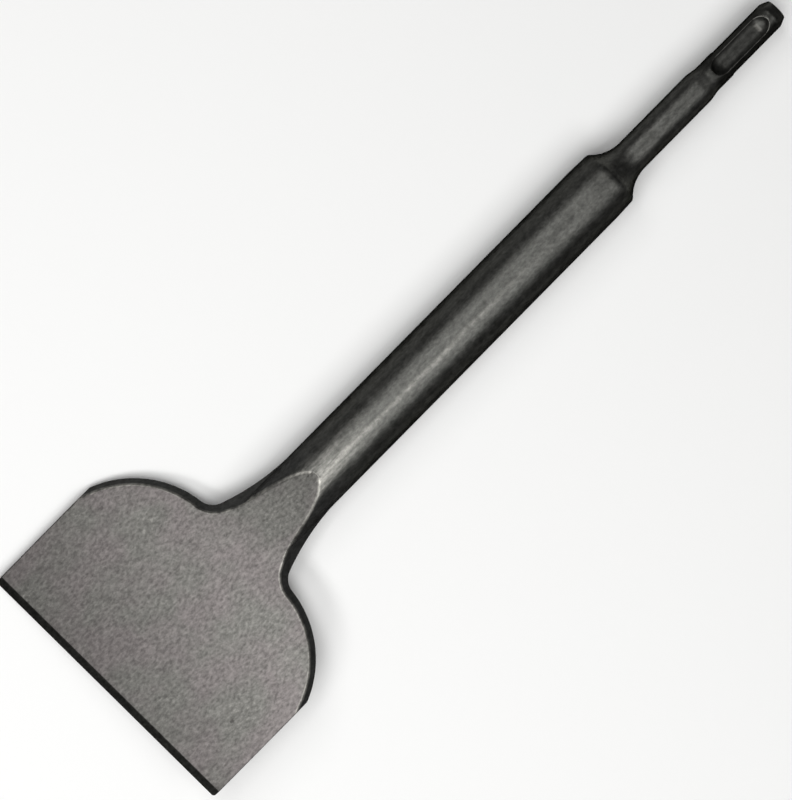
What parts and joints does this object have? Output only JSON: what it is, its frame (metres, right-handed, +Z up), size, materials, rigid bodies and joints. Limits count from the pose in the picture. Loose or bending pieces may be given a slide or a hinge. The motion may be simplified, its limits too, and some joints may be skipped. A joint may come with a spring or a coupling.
{
  "type": "flat chisel",
  "caption": "Wide flat forged steel chisel: broad thin blade with a ground edge, round bar, neck and a grooved quick-change shank for a rotary hammer.",
  "frame": {"origin": "centre of the striking face at the shank's end, on the tool's axis", "axes": "+X along the tool from the striking face to the cutting edge, +Z up from the bench it lies on; the blade is turned about 10 degrees from flat, because the tool lies on its round bar and one side of its blade"},
  "size_m": [0.3, 0.0952, 0.0208],
  "materials": {
    "forged_steel": "forged and shot-blasted tool steel, dark oxide on the rims, bar and shank"
  },
  "bodies": {
    "root": {"flat_chisel": "forged_steel"}
  },
  "joints": []
}
